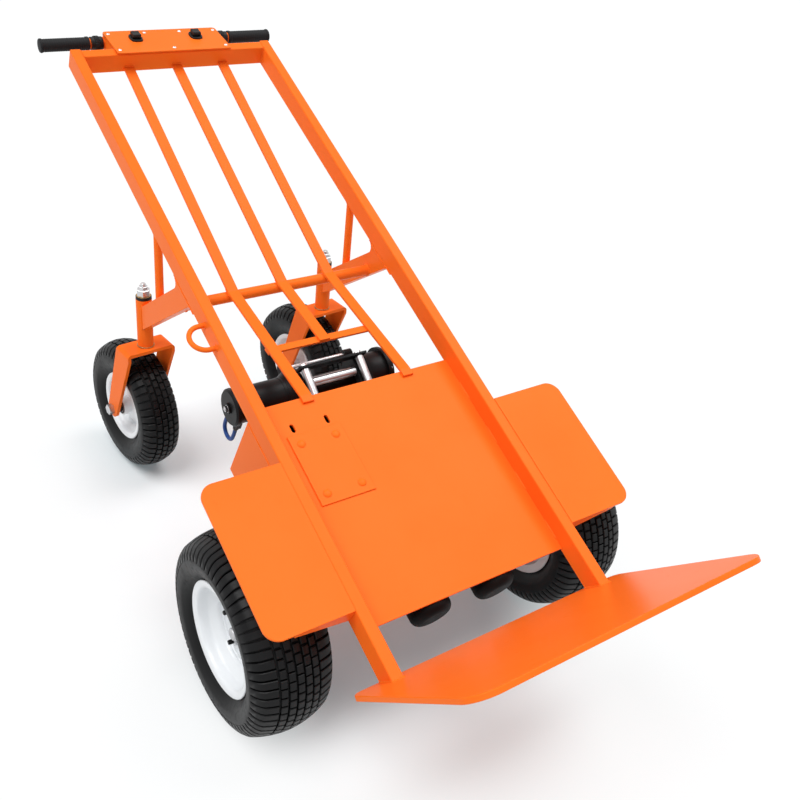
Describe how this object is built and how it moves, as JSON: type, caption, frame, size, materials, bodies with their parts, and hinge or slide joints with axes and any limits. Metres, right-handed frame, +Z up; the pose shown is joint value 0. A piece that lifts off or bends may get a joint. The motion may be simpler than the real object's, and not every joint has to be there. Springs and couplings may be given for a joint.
{
  "type": "transport cart",
  "caption": "Powered transport cart: leaning ladder frame with toe plate, driven pneumatic wheels, swivel casters, electric winch with roller fairlead and a handlebar with controls.",
  "frame": {"origin": "on the ground under the centre of the bounding box", "axes": "+Z up, -Y towards the toe plate, +Y towards the handlebar, +X to the right seen from the toe plate's side"},
  "size_m": [0.899, 1.8282, 1.0088],
  "materials": {
    "orange_paint": "glossy powder coat",
    "white_paint": "gloss paint",
    "tyre_rubber": "matt rubber",
    "zinc_steel": "bright zinc plate",
    "bronze": "satin",
    "black_paint": "satin black paint",
    "cast_grey": "dark satin paint",
    "black_plastic": "matt",
    "black_rubber": "matt",
    "bare_aluminium": "bare",
    "blue_lead": "satin"
  },
  "bodies": {
    "chassis": {"axle_bearings": "zinc_steel", "axle_hangers": "orange_paint", "batteries": "black_plastic", "box_side_panels": "orange_paint", "box_tray": "orange_paint", "caster_arms": "orange_paint", "caster_braces": "orange_paint", "control_box": "orange_paint", "control_cover": "orange_paint", "cross_tube": "orange_paint", "deck_cover_plate": "orange_paint", "deck_plate": "orange_paint", "drive_motors": "black_paint", "fairlead_frame": "black_paint", "fasteners": "zinc_steel", "fender_gussets": "orange_paint", "fenders": "orange_paint", "gear_cases": "cast_grey", "grips": "black_rubber", "handlebar": "orange_paint", "kingpin_bushes": "bronze", "kingpin_tubes": "orange_paint", "left_rail": "orange_paint", "motor_controller": "bare_aluminium", "right_rail": "orange_paint", "slats": "orange_paint", "switch_bezels": "black_plastic", "tie_loop": "orange_paint", "toe_plate": "orange_paint", "top_crossbar": "orange_paint", "winch_gearbox": "black_paint", "winch_lead": "blue_lead", "winch_motor": "black_paint", "winch_mount": "orange_paint", "winch_tie_rods": "zinc_steel"},
    "left_wheel": {"left_tyre": "tyre_rubber", "left_rim": "white_paint", "left_axle": "zinc_steel"},
    "right_wheel": {"right_tyre": "tyre_rubber", "right_rim": "white_paint", "right_axle": "zinc_steel"},
    "left_caster": {"left_fork": "orange_paint", "left_caster_bolts": "zinc_steel"},
    "right_caster": {"right_fork": "orange_paint", "right_caster_bolts": "zinc_steel"},
    "left_caster_wheel": {"left_caster_tyre": "tyre_rubber", "left_caster_rim": "white_paint"},
    "right_caster_wheel": {"right_caster_tyre": "tyre_rubber", "right_caster_rim": "white_paint"},
    "drum": {"winch_drum": "black_paint"},
    "clutch": {"clutch_knob": "black_plastic"},
    "roller_left": {"fairlead_roller_left": "zinc_steel"},
    "roller_right": {"fairlead_roller_right": "zinc_steel"},
    "roller_upper": {"fairlead_roller_upper": "zinc_steel"},
    "roller_lower": {"fairlead_roller_lower": "zinc_steel"},
    "rocker_left": {"left_rocker": "black_plastic"},
    "rocker_right": {"right_rocker": "black_plastic"},
    "ring_left": {"left_twist_ring": "black_plastic"},
    "ring_right": {"right_twist_ring": "black_plastic"}
  },
  "joints": [
    {"name": "left_wheel_spin", "type": "hinge", "parent": "chassis", "child": "left_wheel", "pos_m": [-0.367, -0.34326, 0.203], "axis": [1, 0, 0], "continuous": true},
    {"name": "left_caster_swivel", "type": "hinge", "parent": "chassis", "child": "left_caster", "pos_m": [-0.2475, 0.45774, 0.44], "axis": [0, 0, 1], "continuous": true},
    {"name": "left_caster_roll", "type": "hinge", "parent": "left_caster", "child": "left_caster_wheel", "pos_m": [-0.25478, 0.53339, 0.168], "axis": [0.9954, 0.0958, 0], "continuous": true},
    {"name": "right_wheel_spin", "type": "hinge", "parent": "chassis", "child": "right_wheel", "pos_m": [0.367, -0.34326, 0.203], "axis": [1, 0, 0], "continuous": true},
    {"name": "right_caster_swivel", "type": "hinge", "parent": "chassis", "child": "right_caster", "pos_m": [0.2475, 0.45774, 0.44], "axis": [0, 0, 1], "continuous": true},
    {"name": "right_caster_roll", "type": "hinge", "parent": "right_caster", "child": "right_caster_wheel", "pos_m": [0.24022, 0.53339, 0.168], "axis": [0.9954, 0.0958, 0], "continuous": true},
    {"name": "drum_spin", "type": "hinge", "parent": "chassis", "child": "drum", "pos_m": [0, 0.02417, 0.44924], "axis": [1, 0, 0], "continuous": true},
    {"name": "clutch_turn", "type": "hinge", "parent": "chassis", "child": "clutch", "pos_m": [0.166, 0.02417, 0.44924], "axis": [1, 0, 0], "range_deg": [0, 90]},
    {"name": "roller_left_spin", "type": "hinge", "parent": "chassis", "child": "roller_left", "pos_m": [-0.068, -0.02607, 0.48818], "axis": [0, 0.7716, 0.6361], "continuous": true},
    {"name": "roller_right_spin", "type": "hinge", "parent": "chassis", "child": "roller_right", "pos_m": [0.068, -0.02607, 0.48818], "axis": [0, 0.7716, 0.6361], "continuous": true},
    {"name": "roller_upper_spin", "type": "hinge", "parent": "chassis", "child": "roller_upper", "pos_m": [0, -0.00427, 0.48217], "axis": [1, 0, 0], "continuous": true},
    {"name": "roller_lower_spin", "type": "hinge", "parent": "chassis", "child": "roller_lower", "pos_m": [0, -0.03436, 0.45736], "axis": [1, 0, 0], "continuous": true},
    {"name": "left_rocker_tip", "type": "hinge", "parent": "chassis", "child": "rocker_left", "pos_m": [-0.0865, 0.86078, 0.98933], "axis": [1, 0, 0], "range_deg": [-10, 10], "stiffness_Nm_per_rad": 0.05},
    {"name": "right_rocker_tip", "type": "hinge", "parent": "chassis", "child": "rocker_right", "pos_m": [0.0705, 0.86078, 0.98933], "axis": [1, 0, 0], "range_deg": [-10, 10], "stiffness_Nm_per_rad": 0.05},
    {"name": "left_ring_twist", "type": "hinge", "parent": "chassis", "child": "ring_left", "pos_m": [-0.17325, 0.89713, 0.97563], "axis": [-1, 0, 0], "range_deg": [0, 50], "stiffness_Nm_per_rad": 0.1},
    {"name": "right_ring_twist", "type": "hinge", "parent": "chassis", "child": "ring_right", "pos_m": [0.15725, 0.89713, 0.97563], "axis": [-1, 0, 0], "range_deg": [0, 50], "stiffness_Nm_per_rad": 0.1}
  ]
}
